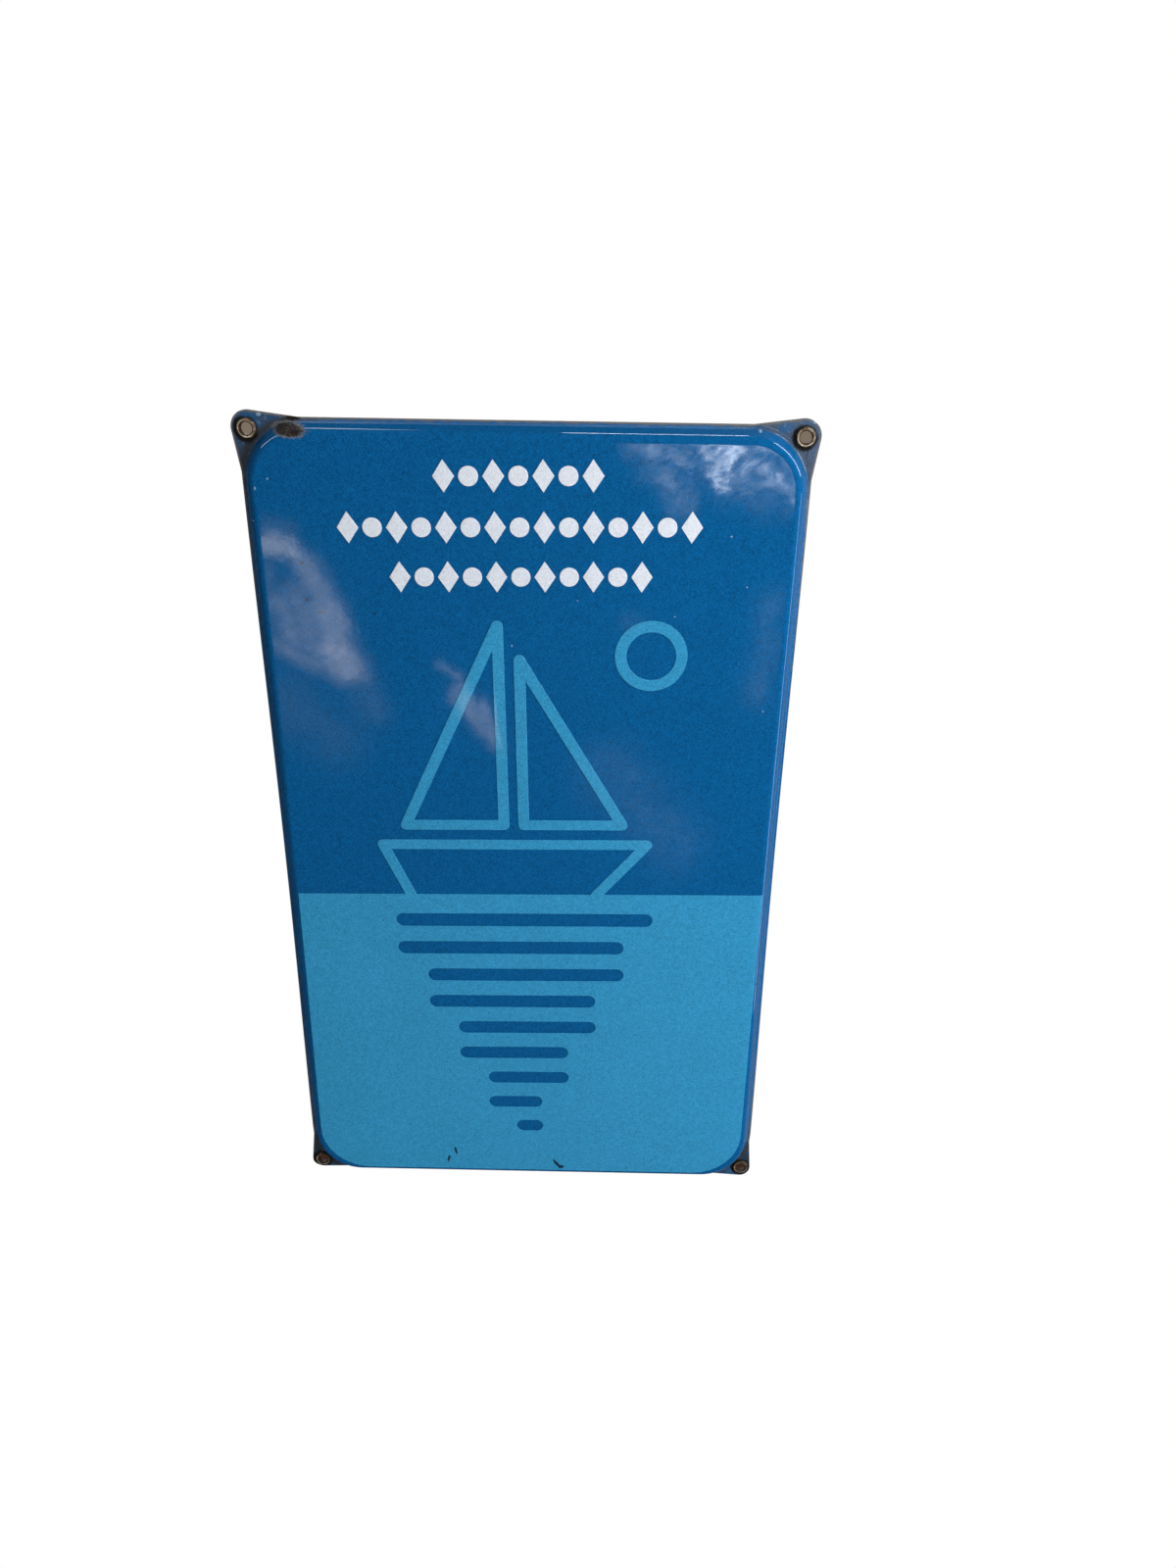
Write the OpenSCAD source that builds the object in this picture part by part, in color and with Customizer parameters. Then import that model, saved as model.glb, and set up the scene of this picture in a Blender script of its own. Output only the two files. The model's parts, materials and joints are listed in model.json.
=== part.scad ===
// Pressed steel advertising sign under vitreous enamel, screwed to a wall through four corner eyelets.
// It stands upright: +X to the right, +Z up, and its face looks along -Y.
// The origin is the centre of the four screw holes, in the plane of the lip's back.
// Every piece is drawn lying on its back, with z forward, and then stood up.

/* [Plate] */
// Width over the long edges, without the ears
plate_w = 300; // [240:5:400]
// Height over the top and bottom edges, without the ears
plate_h = 500; // [420:5:640]
// Thickness of the steel together with its enamel
sheet_t = 1.6; // [1.2:0.1:2.2]
// Radius of the outer edge at the corners
corner_r = 34; // [32:1:50]

/* [Pressing] */
// How far the face stands in front of the lip's back
press_d = 11; // [8:0.5:16]
// Angle between the lip and the sloping flank
flank_angle = 65; // [50:1:75]
// Flat width of the lip, outside the bend at its foot
lip_w = 0.5; // [0.4:0.1:4]
// Radius of the hollow between lip and flank
foot_r = 1.5; // [1:0.1:3]
// Radius of the rounded shoulder between flank and face
shoulder_r = 5; // [3.5:0.1:7]

/* [Ears] */
// How far the ears reach beyond the long edges
ear_side = 3.2; // [2:0.1:6]
// How far the ears reach beyond the top and bottom edges
ear_end = 3.3; // [2:0.1:6]
// Radius of an ear's tip
ear_r = 9; // [7.5:0.5:12]
// Length along the long edge over which an ear runs out
ear_run_side = 28; // [22:1:34]
// Length along the top or bottom edge over which an ear runs out
ear_run_end = 32; // [24:1:34]

/* [Eyelets] */
// Distance from the long edge in to the screw hole
hole_side = 5; // [4:0.5:8]
// Distance from the top or bottom edge in to the screw hole
hole_end = 6; // [4:0.5:8]
// Radius of the bore through an eyelet
bore_r = 3.2; // [2.2:0.1:3.4]
// Thickness of the eyelet's metal
eyelet_wall = 0.5; // [0.3:0.05:0.6]
// Radius by which the barrel turns out into its two rolls
turn_r = 0.8; // [0.7:0.05:0.9]
// Height of the front roll over the ear
front_roll = 1.3; // [1.1:0.1:2]
// Height of the clinched roll behind the ear
back_roll = 0.9; // [0.9:0.05:1.2]
// Gap between the barrel and the hole in the ear
barrel_gap = 0.3; // [0.1:0.05:0.4]

/* [Enamel] */
// Thickness of the light blue and the white enamel over the ground coat
enamel_t = 0.3; // [0.1:0.05:0.6]
// Dark border left between the light field and the shoulder
field_margin = 0.2; // [0.2:0.1:3]
// Turn of the whole print on the plate, anticlockwise as seen from the front
print_turn = 0.9; // [0:0.1:1.5]
// Radius of the light field's lower corners
field_corner_r = 31; // [26:1:40]
// Height of the waterline over the bottom edge
field_h = 225; // [200:1:240]
// Width of the drawn lines
line_w = 6.5; // [4:0.5:9]

/* [Boat] */
// Place of the mast to the right of the sign's centre
mast_x = -8; // [-20:1:10]
// Clear height between the masthead and the lower white row
boat_gap = 15.5; // [6:0.5:40]
// Length of the boat's deck
deck_l = 158; // [120:1:180]
// Height of the deck over the waterline
deck_h = 34; // [24:1:44]
// Rake of the stern and the bow between deck and waterline
bow_rake = 30; // [15:1:40]
// Radius of the sun over the bow
sun_r = 17; // [12:1:24]

/* [Ripples] */
// Number of dark bars in the boat's reflection
ripple_n = 9; // [5:1:9]
// Distance between two bars
ripple_pitch = 20; // [17:1:21]
// Height of a bar
ripple_h = 9; // [6:0.5:11]

/* [Frieze] */
// Number of white figures in the upper row
frieze_upper = 7; // [3:2:9]
// Number of white figures in the middle row
frieze_middle = 15; // [9:2:17]
// Number of white figures in the lower row
frieze_lower = 11; // [5:2:13]
// Distance between two white figures
frieze_pitch = 13; // [12:0.5:15]
// Distance between two rows
frieze_rows = 26.5; // [22:0.5:30]
// Distance from the top edge down to the middle of the upper row
frieze_top = 26.5; // [22:0.5:36]
// Height of a lozenge
lozenge_h = 17; // [12:0.5:20]
// Width of a lozenge
lozenge_w = 11.5; // [8:0.5:12]
// Radius of a disc
disc_r = 5.2; // [3.5:0.1:6]

/* [Hidden] */

// Centre of the corner at the top right
corner_x = plate_w / 2 - corner_r;
corner_z = plate_h / 2 - corner_r;

// Facets of a full turn at the plate's corners, in small round forms and in the bends of the sheet
corner_facets = 120;
round_facets = 72;
bend_facets = 48;

// Length by which a round form runs past the lines it touches, so that they join
overlap = 0.0002;

// Section of the rim, measured in from the outer edge
shoulder_tan = shoulder_r * tan(flank_angle / 2);
foot_tan = foot_r * tan(flank_angle / 2);
flank_run = (press_d - sheet_t) / tan(flank_angle);
face_in = lip_w + foot_tan + flank_run + shoulder_tan;
foot_c = [lip_w, sheet_t + foot_r];
shoulder_c = [face_in, press_d - shoulder_r];

// The rim's section ends in a strip of the face, which the face's own plate laps over
section_w = face_in + 10;
plate_in = face_in + 5;

// Ears and eyelets at the top right; an ear's own points are measured from the centre of its tip
hole_x = plate_w / 2 - hole_side;
hole_z = plate_h / 2 - hole_end;
tip = [plate_w / 2 + ear_side - ear_r, plate_h / 2 + ear_end - ear_r];
side_foot = [ear_r - ear_side, ear_r - ear_end - ear_run_side];
end_foot = [ear_r - ear_side - ear_run_end, ear_r - ear_end];
hole_r = bore_r + eyelet_wall + barrel_gap;

// Heights of the drawing over the sign's centre
waterline = field_h - plate_h / 2;
frieze_z = plate_h / 2 - frieze_top;
masthead = frieze_z - 2 * frieze_rows - lozenge_h / 2 - boat_gap - line_w / 2;

function polar(r, a) = [r * cos(a), r * sin(a)];

// Where a line from a point touches a circle of radius r about the origin
function tangent_point(p, r, side) = polar(r, atan2(p[1], p[0]) + side * acos(r / norm(p)));

module upright() {
    rotate([90, 0, 0])
        children();
}

module four_corners() {
    for (flip_x = [0, 1], flip_z = [0, 1])
        mirror([flip_x, 0, 0])
            mirror([0, flip_z, 0])
                children();
}

// Everything behind a layer of the bent sheet that lies a given depth below its front surface:
// x runs in from the outer edge, y runs forward from the lip's back
module behind(depth) {
    foot_to = foot_c + polar(foot_r + depth, flank_angle - 90);
    shoulder_from = shoulder_c + polar(shoulder_r - depth, flank_angle + 90);
    lip_y = sheet_t - depth;
    face_y = press_d - depth;
    low_y = -2 * sheet_t;
    outward = polar(sheet_t, flank_angle + 90);
    foot_vertex = foot_to + polar((low_y - foot_to[1]) / sin(flank_angle), flank_angle);
    shoulder_vertex = shoulder_from + polar((face_y - shoulder_from[1]) / sin(flank_angle), flank_angle);
    difference() {
        union() {
            translate([-lip_w, low_y])
                square([section_w, lip_y - low_y]);
            polygon([foot_vertex, shoulder_vertex, [section_w, face_y], [section_w, low_y]]);
            difference() {
                polygon([[lip_w, lip_y], foot_to, [foot_to[0] + sheet_t, low_y], [lip_w, low_y]]);
                translate(foot_c)
                    circle(foot_r + depth + overlap, $fn = bend_facets);
            }
        }
        difference() {
            polygon([
                shoulder_from,
                shoulder_from + outward,
                shoulder_vertex + outward,
                [shoulder_c[0], face_y + sheet_t],
                [shoulder_c[0], face_y]
            ]);
            translate(shoulder_c)
                circle(shoulder_r - depth + overlap, $fn = bend_facets);
        }
    }
}

// Section across the rim, from the outer edge to the strip that carries the face
module rim_section() {
    intersection() {
        square([section_w, press_d]);
        difference() {
            behind(0);
            behind(sheet_t);
        }
    }
}

// Outline of the plate, moved in from its outer edge
module outline(inset) {
    square([2 * corner_x, plate_h - 2 * inset], center = true);
    square([plate_w - 2 * inset, 2 * corner_z], center = true);
    for (x = [-corner_x, corner_x], z = [-corner_z, corner_z])
        translate([x, z])
            circle(corner_r - inset, $fn = corner_facets);
}

module rim_corner() {
    translate([corner_x, corner_z])
        rotate_extrude(angle = 90, $fn = corner_facets)
            translate([corner_r, 0])
                mirror([1, 0])
                    rim_section();
}

// Straight stretch of the rim along the top edge
module rim_end() {
    translate([-corner_x, plate_h / 2, 0])
        rotate([90, 0, 90])
            linear_extrude(2 * corner_x)
                mirror([1, 0])
                    rim_section();
}

// Straight stretch of the rim along the right edge
module rim_side() {
    translate([plate_w / 2, corner_z, 0])
        rotate([90, 0, 0])
            linear_extrude(2 * corner_z)
                mirror([1, 0])
                    rim_section();
}

// Flat ear that fills the corner outside the plate's round edge and runs out along both edges
module ear() {
    inner = [corner_x, corner_z] - tip;
    linear_extrude(sheet_t)
        difference() {
            translate(tip) {
                circle(ear_r + overlap, $fn = round_facets);
                polygon([
                    inner,
                    [side_foot[0], inner[1]],
                    side_foot,
                    tangent_point(side_foot, ear_r, 1),
                    tangent_point(end_foot, ear_r, -1),
                    end_foot,
                    [inner[0], end_foot[1]]
                ]);
            }
            outline(lip_w / 2);
        }
}

module panel() {
    color([0.02, 0.32, 0.53])
        upright()
            difference() {
                union() {
                    four_corners()
                        rim_corner();
                    for (flip = [0, 1]) {
                        mirror([0, flip, 0])
                            rim_end();
                        mirror([flip, 0, 0])
                            rim_side();
                    }
                    translate([0, 0, press_d - sheet_t])
                        linear_extrude(sheet_t)
                            outline(plate_in);
                    four_corners()
                        ear();
                }
                four_corners()
                    translate([hole_x, hole_z, -sheet_t])
                        cylinder(r = hole_r, h = 3 * sheet_t, $fn = round_facets);
            }
}

// Quarter of a rolled wall, turned from its place up and to the right of the centre
module quarter_roll(outer_r, turn) {
    rotate(turn)
        intersection() {
            difference() {
                circle(outer_r, $fn = bend_facets);
                circle(outer_r - eyelet_wall, $fn = bend_facets);
            }
            square(outer_r);
        }
}

// Section of an eyelet: x is the distance from its axis, y runs forward from the lip's back
module eyelet_section() {
    crest_r = bore_r + turn_r;
    front_y = sheet_t + front_roll - turn_r;
    back_y = turn_r - back_roll;
    translate([crest_r, sheet_t])
        quarter_roll(front_roll, 0);
    translate([crest_r, front_y])
        quarter_roll(turn_r, 90);
    translate([bore_r, back_y])
        square([eyelet_wall, front_y - back_y]);
    translate([crest_r, back_y])
        quarter_roll(turn_r, 180);
    translate([crest_r, 0])
        quarter_roll(back_roll, 270);
}

module eyelet(side, end) {
    color([0.42, 0.36, 0.28])
        upright()
            translate([side * hole_x, end * hole_z])
                rotate_extrude($fn = round_facets)
                    eyelet_section();
}

module eyelet_top_left() {
    eyelet(-1, 1);
}

module eyelet_top_right() {
    eyelet(1, 1);
}

module eyelet_bottom_left() {
    eyelet(-1, -1);
}

module eyelet_bottom_right() {
    eyelet(1, -1);
}

// Drawn line with round ends
module drawn_line(a, b) {
    d = b - a;
    translate(a)
        rotate(atan2(d[1], d[0]))
            translate([0, -line_w / 2])
                square([norm(d), line_w]);
    for (end = [a, b])
        translate(end)
            circle(line_w / 2 + overlap, $fn = bend_facets);
}

module drawn_path(points) {
    for (i = [0 : len(points) - 2])
        drawn_line(points[i], points[i + 1]);
}

module boat() {
    deck = waterline + deck_h;
    stern_x = mast_x - deck_l / 2;
    bow_x = mast_x + deck_l / 2;
    drawn_path([
        [stern_x + bow_rake / 2, waterline],
        [stern_x, deck],
        [bow_x, deck],
        [bow_x - bow_rake, waterline]
    ]);
    sail_foot = deck + 2 * line_w;
    sail_gap = 0.9 * line_w;
    drawn_path([
        [mast_x - sail_gap, sail_foot],
        [mast_x - sail_gap, masthead],
        [stern_x + bow_rake / 2, sail_foot],
        [mast_x - sail_gap, sail_foot]
    ]);
    drawn_path([
        [mast_x + sail_gap, sail_foot],
        [mast_x + sail_gap, masthead - 3 * line_w],
        [bow_x - bow_rake / 2, sail_foot],
        [mast_x + sail_gap, sail_foot]
    ]);
}

module sun() {
    translate([mast_x + deck_l / 2, masthead - sun_r])
        difference() {
            circle(sun_r + line_w / 2, $fn = round_facets);
            circle(sun_r - line_w / 2, $fn = round_facets);
        }
}

// Dark bars that narrow downwards, left open in the light field
module ripples() {
    for (i = [0 : ripple_n - 1]) {
        half = deck_l / 2 * (1 - i / ripple_n) - ripple_h / 2;
        sway = (i % 2 == 0 ? 1 : -1) * ripple_h / 2;
        translate([mast_x + sway, waterline - (i + 0.9) * ripple_pitch]) {
            square([2 * half, ripple_h], center = true);
            for (side = [-1, 1])
                translate([side * half, 0])
                    circle(ripple_h / 2, $fn = bend_facets);
        }
    }
}

// Light field's outline, within the flat face and with rounder corners
module field_outline() {
    border = face_in + field_margin + field_corner_r;
    intersection() {
        outline(face_in + field_margin);
        offset(r = field_corner_r, $fn = corner_facets)
            square([plate_w - 2 * border, plate_h - 2 * border], center = true);
    }
}

// Turns a drawing on the plate, as the print lies slightly askew
module printed() {
    rotate(print_turn)
        children();
}

module light_blue_enamel() {
    color([0.2, 0.55, 0.75])
        upright()
            translate([0, 0, press_d])
                linear_extrude(enamel_t) {
                    difference() {
                        intersection() {
                            field_outline();
                            printed()
                                translate([-plate_w / 2, waterline - plate_h])
                                    square([plate_w, plate_h]);
                        }
                        printed()
                            ripples();
                    }
                    printed() {
                        boat();
                        sun();
                    }
                }
}

// One row of lozenges and discs in turn
module frieze_row(count) {
    for (i = [0 : count - 1])
        translate([(i - (count - 1) / 2) * frieze_pitch, 0])
            if (i % 2 == 0)
                polygon([
                    [-lozenge_w / 2, 0],
                    [0, -lozenge_h / 2],
                    [lozenge_w / 2, 0],
                    [0, lozenge_h / 2]
                ]);
            else
                circle(disc_r, $fn = bend_facets);
}

module white_enamel() {
    counts = [frieze_upper, frieze_middle, frieze_lower];
    color([0.86, 0.88, 0.9])
        upright()
            translate([0, 0, press_d])
                linear_extrude(enamel_t)
                    printed()
                        for (row = [0 : 2])
                            translate([0, frieze_z - row * frieze_rows])
                                frieze_row(counts[row]);
}

panel();
eyelet_top_left();
eyelet_top_right();
eyelet_bottom_left();
eyelet_bottom_right();
light_blue_enamel();
white_enamel();
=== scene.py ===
import json
import math

import bmesh
import bpy
from mathutils import Matrix, Vector, noise


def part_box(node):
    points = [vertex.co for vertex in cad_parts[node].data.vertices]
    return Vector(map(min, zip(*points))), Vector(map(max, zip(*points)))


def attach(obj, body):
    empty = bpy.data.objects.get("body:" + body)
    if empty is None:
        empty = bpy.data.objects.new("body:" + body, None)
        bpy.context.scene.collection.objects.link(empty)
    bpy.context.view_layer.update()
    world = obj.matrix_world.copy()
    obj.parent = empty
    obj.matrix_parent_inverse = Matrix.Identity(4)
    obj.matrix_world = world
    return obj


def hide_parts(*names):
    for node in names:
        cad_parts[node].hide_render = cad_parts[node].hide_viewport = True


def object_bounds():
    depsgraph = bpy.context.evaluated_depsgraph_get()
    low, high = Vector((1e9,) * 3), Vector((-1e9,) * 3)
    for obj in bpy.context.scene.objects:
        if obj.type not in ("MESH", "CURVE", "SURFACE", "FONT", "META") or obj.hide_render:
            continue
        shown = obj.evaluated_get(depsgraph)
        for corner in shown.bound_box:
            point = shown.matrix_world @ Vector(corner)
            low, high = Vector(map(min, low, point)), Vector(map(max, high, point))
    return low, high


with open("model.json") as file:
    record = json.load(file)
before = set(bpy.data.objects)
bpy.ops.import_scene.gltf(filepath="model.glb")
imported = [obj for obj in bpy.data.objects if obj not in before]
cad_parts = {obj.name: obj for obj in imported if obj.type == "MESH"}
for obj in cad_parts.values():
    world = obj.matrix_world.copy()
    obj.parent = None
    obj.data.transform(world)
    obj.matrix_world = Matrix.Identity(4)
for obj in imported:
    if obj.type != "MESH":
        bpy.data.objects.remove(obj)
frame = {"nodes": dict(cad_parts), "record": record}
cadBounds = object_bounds()
mm = 0.001
print("frame loaded")


# Small helpers for node trees

def colour(red, green, blue):  # from a colour picker's 0 to 255 to a linear colour
    def linear(value):
        value /= 255
        return value / 12.92 if value <= 0.04045 else ((value + 0.055) / 1.055) ** 2.4
    return (linear(red), linear(green), linear(blue), 1.0)


def feed(tree, socket, value):
    if isinstance(value, bpy.types.NodeSocket):
        tree.links.new(value, socket)
    else:
        socket.default_value = value


def put(tree, kind, inputs=None, **settings):
    node = tree.nodes.new("ShaderNode" + kind)
    for name, value in settings.items():
        setattr(node, name, value)
    for name, value in (inputs or {}).items():
        feed(tree, node.inputs[name], value)
    return node


def calc(tree, operation, *values, clamp=False):
    node = put(tree, "Math", operation=operation, use_clamp=clamp)
    for i, value in enumerate(values):
        feed(tree, node.inputs[i], value)
    return node.outputs[0]


def times(tree, first, second, clamp=False):
    return calc(tree, "MULTIPLY", first, second, clamp=clamp)


def plus(tree, first, second, clamp=False):
    return calc(tree, "ADD", first, second, clamp=clamp)


def most(tree, first, second):
    return calc(tree, "MAXIMUM", first, second)


def vectorCalc(tree, operation, *values):
    node = put(tree, "VectorMath", operation=operation)
    for i, value in enumerate(values):
        feed(tree, node.inputs[i], value)
    return node.outputs["Value" if operation in ("LENGTH", "DOT_PRODUCT", "DISTANCE") else "Vector"]


def flattened(tree, vector):  # seen from the front
    return vectorCalc(tree, "MULTIPLY", vector, (1, 0, 1))


def split(tree, vector):
    return put(tree, "SeparateXYZ", {"Vector": vector}).outputs


def fade(tree, value, start, end):  # 0 at start, 1 at end, smooth in between
    node = put(tree, "MapRange", {"Value": value, "From Min": start, "From Max": end},
               interpolation_type="SMOOTHSTEP")
    return node.outputs["Result"]


def spread(tree, value, low, high):  # a 0 to 1 value over another range
    return put(tree, "MapRange", {"Value": value, "To Min": low, "To Max": high}).outputs["Result"]


def blend(tree, factor, first, second, how="MIX"):
    node = put(tree, "Mix", data_type="RGBA", blend_type=how)
    feed(tree, node.inputs[0], factor)
    feed(tree, node.inputs[6], first)
    feed(tree, node.inputs[7], second)
    return node.outputs[2]


def cloud(tree, position, size, detail=2.0, roughness=0.5, distortion=0.0):  # noise, lump size in mm
    node = put(tree, "TexNoise", {"Vector": position, "Scale": 1 / size, "Detail": detail,
                                  "Roughness": roughness, "Distortion": distortion})
    return node.outputs[0]


def positionInMm(tree):
    place = put(tree, "TexCoord").outputs["Object"]
    return vectorCalc(tree, "MULTIPLY", place, (1000, 1000, 1000))


def makeGroup(name, inputs, outputs):
    tree = bpy.data.node_groups.new(name, "ShaderNodeTree")
    for socketName, kind in inputs.items():
        tree.interface.new_socket(name=socketName, in_out="INPUT", socket_type="NodeSocket" + kind)
    for socketName, kind in outputs.items():
        tree.interface.new_socket(name=socketName, in_out="OUTPUT", socket_type="NodeSocket" + kind)
    start = tree.nodes.new("NodeGroupInput")
    end = tree.nodes.new("NodeGroupOutput")
    return tree, start.outputs, end.inputs


def useGroup(tree, group, inputs):
    node = tree.nodes.new("ShaderNodeGroup")
    node.node_tree = group
    for name, value in inputs.items():
        feed(tree, node.inputs[name], value)
    return node.outputs


def newMaterial(name):
    material = bpy.data.materials.new(name)
    material.use_nodes = True
    tree = material.node_tree
    tree.nodes.clear()
    output = tree.nodes.new("ShaderNodeOutputMaterial")
    return material, tree, output.inputs["Surface"]


# Main sizes, from the frame and in metres

panelLow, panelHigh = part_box("panel")
holeSpacing = frame["record"]["mounts"][0]["dims"]
hole = Vector((holeSpacing["spacing_x_mm"] / 2 * mm, 0, holeSpacing["spacing_y_mm"] / 2 * mm))

sheetForm = {
    "sheet": 1.6 * mm,  # steel and enamel together
    "press": -panelLow[1],  # how far the face stands in front
    "earSide": 3.2 * mm,
    "earEnd": 3.3 * mm,
    "earTip": 9 * mm,
    "earRunSide": 28 * mm,
    "earRunEnd": 32 * mm,
    "corner": 34 * mm,
    "lip": 0.5 * mm,
    "foot": 1.5 * mm,
    "shoulder": 5 * mm,
    "flank": math.radians(65),
    "holeRadius": 4 * mm,
    "edgeRound": 0.3 * mm,
    "drawIn": 1.2 * mm,  # how far the long sides are pulled in at half height
    "drawAcross": (50 * mm, 135 * mm),  # distances from the middle between which that sets in
    "faceSteps": (0.6 * mm, 6 * mm),  # how far the rim's section runs on over the flat face
    "footSteps": 6,
    "shoulderSteps": 16,
    "tipSteps": 20,
    "holeSteps": 64,
    "cornerSteps": 36,
    "sideSteps": 26,
    "endSteps": 10,
}
halfWidth = panelHigh[0] - sheetForm["earSide"]
halfHeight = panelHigh[2] - sheetForm["earEnd"]
cornerX = halfWidth - sheetForm["corner"]
cornerZ = halfHeight - sheetForm["corner"]
tip = Vector((halfWidth + sheetForm["earSide"] - sheetForm["earTip"],
              halfHeight + sheetForm["earEnd"] - sheetForm["earTip"]))
# where an ear runs out, on the side and on the end of the plate
sideFoot = Vector((halfWidth,
                   tip.y + sheetForm["earTip"] - sheetForm["earEnd"] - sheetForm["earRunSide"]))
endFoot = Vector((tip.x + sheetForm["earTip"] - sheetForm["earSide"] - sheetForm["earRunEnd"],
                  halfHeight))


def tangentAngle(point, side):  # where a line from the point touches the round tip of the ear
    away = point - tip
    return math.atan2(away.y, away.x) + side * math.acos(sheetForm["earTip"] / away.length)


sideAngle = tangentAngle(sideFoot, 1)
endAngle = tangentAngle(endFoot, -1)


def smooth(value, start, end):
    share = min(max((value - start) / (end - start), 0), 1)
    return share * share * (3 - 2 * share)


def pulledIn(x, z):  # x of a point once the long sides have drawn in
    along = min(abs(z) / sideFoot.y, 1)
    depth = sheetForm["drawIn"] * (1 - along ** 2) ** 2 * smooth(abs(x), *sheetForm["drawAcross"])
    return x - math.copysign(depth, x)


# Camera, where the photograph was taken from

cameraPlace = Vector((38.8, -608.1, 318.0)) * mm
viewDirection = Vector((-0.0056, 0.912, -0.4103)).normalized()
imageRight = Vector((1.0, 0.0125, 0.0142))
imageRight = (imageRight - imageRight.dot(viewDirection) * viewDirection).normalized()
imageUp = imageRight.cross(viewDirection)
cameraData = bpy.data.cameras.new("camera")
cameraData.lens = 25.875
cameraData.sensor_width = 36
cameraData.clip_start = 0.01
camera = bpy.data.objects.new("camera", cameraData)
camera.matrix_world = Matrix((
    (imageRight.x, imageUp.x, -viewDirection.x, cameraPlace.x),
    (imageRight.y, imageUp.y, -viewDirection.y, cameraPlace.y),
    (imageRight.z, imageUp.z, -viewDirection.z, cameraPlace.z),
    (0, 0, 0, 1)))
bpy.context.scene.collection.objects.link(camera)
bpy.context.scene.camera = camera
bpy.context.scene.view_settings.view_transform = "Standard"
print("camera placed")


# Node groups that more than one material uses

def makeEyeletDistance():  # distance from the nearest eyelet's axis, in mm
    tree, given, made = makeGroup("eyeletDistance", {"Position": "Vector"}, {"Distance": "Float"})
    folded = vectorCalc(tree, "ABSOLUTE", given["Position"])
    away = vectorCalc(tree, "SUBTRACT", folded, (hole.x / mm, 0, hole.z / mm))
    flat = flattened(tree, away)
    feed(tree, made["Distance"], vectorCalc(tree, "LENGTH", flat))
    return tree


def makeOutlineInset():  # distance in from the outline, and from the plate's without its ears, in mm
    outputs = {"Inset": "Float", "Plate": "Float"}
    tree, given, made = makeGroup("outlineInset", {"Position": "Vector"}, outputs)
    folded = vectorCalc(tree, "ABSOLUTE", given["Position"])
    fromCorner = vectorCalc(tree, "SUBTRACT", folded, (cornerX / mm, 0, cornerZ / mm))
    flat = flattened(tree, fromCorner)
    outside = vectorCalc(tree, "LENGTH", vectorCalc(tree, "MAXIMUM", flat, (0, 0, 0)))
    parts = split(tree, flat)
    inside = calc(tree, "MINIMUM", most(tree, parts["X"], parts["Z"]), 0)
    plate = calc(tree, "SUBTRACT", plus(tree, outside, inside), sheetForm["corner"] / mm)
    fromTip = vectorCalc(tree, "SUBTRACT", folded, (tip.x / mm, 0, tip.y / mm))
    ear = -1000.0
    facets = 4  # the tip's round is measured along this many directions and one
    for i in range(facets + 1):
        angle = sideAngle + (endAngle - sideAngle) * i / facets
        reach = vectorCalc(tree, "DOT_PRODUCT", fromTip, (math.cos(angle), 0, math.sin(angle)))
        ear = most(tree, reach, ear)
    ear = calc(tree, "SUBTRACT", ear, sheetForm["earTip"] / mm)
    feed(tree, made["Inset"], times(tree, calc(tree, "MINIMUM", plate, ear), -1))
    feed(tree, made["Plate"], times(tree, plate, -1))
    return tree


def makeSpot():  # a ragged spot on the face: 1 inside, 0 outside
    inputs = {"Position": "Vector", "Centre": "Vector", "Size": "Vector",
              "Turn": "Float", "Ragged": "Float", "Soft": "Float"}
    tree, given, made = makeGroup("spot", inputs, {"Mask": "Float"})
    away = vectorCalc(tree, "SUBTRACT", given["Position"], given["Centre"])
    turned = put(tree, "VectorRotate", {"Vector": away, "Angle": given["Turn"]}, rotation_type="Y_AXIS")
    flat = flattened(tree, turned.outputs[0])
    reach = vectorCalc(tree, "LENGTH", vectorCalc(tree, "DIVIDE", flat, given["Size"]))
    lumps = put(tree, "TexNoise", {"Vector": given["Position"], "Scale": 0.9, "Detail": 3.0}).outputs[0]
    wobble = times(tree, calc(tree, "SUBTRACT", lumps, 0.5), given["Ragged"])
    reach = plus(tree, reach, wobble)
    edge = calc(tree, "DIVIDE", calc(tree, "SUBTRACT", 1, reach), given["Soft"])
    feed(tree, made["Mask"], plus(tree, edge, 0.5, clamp=True))
    return tree


grainForm = {
    # sizes in mm, and how far each tints the enamel
    "speckle": 0.8,
    "speckleTint": (-0.85, 0.85),
    "mottle": 2.4,
    "mottleTint": (-0.24, 0.24),
    "shade": 60,
    "shadeTint": (0.94, 1.06),
    # sizes and heights of the relief, in mm
    "sway": 70,
    "swayHeight": 0.4,
    "peel": 4.5,
    "peelHeight": (0.009, 0.002),  # and where the enamel is calm
    "fine": 1.5,
    "fineHeight": 0.001,
}


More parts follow.
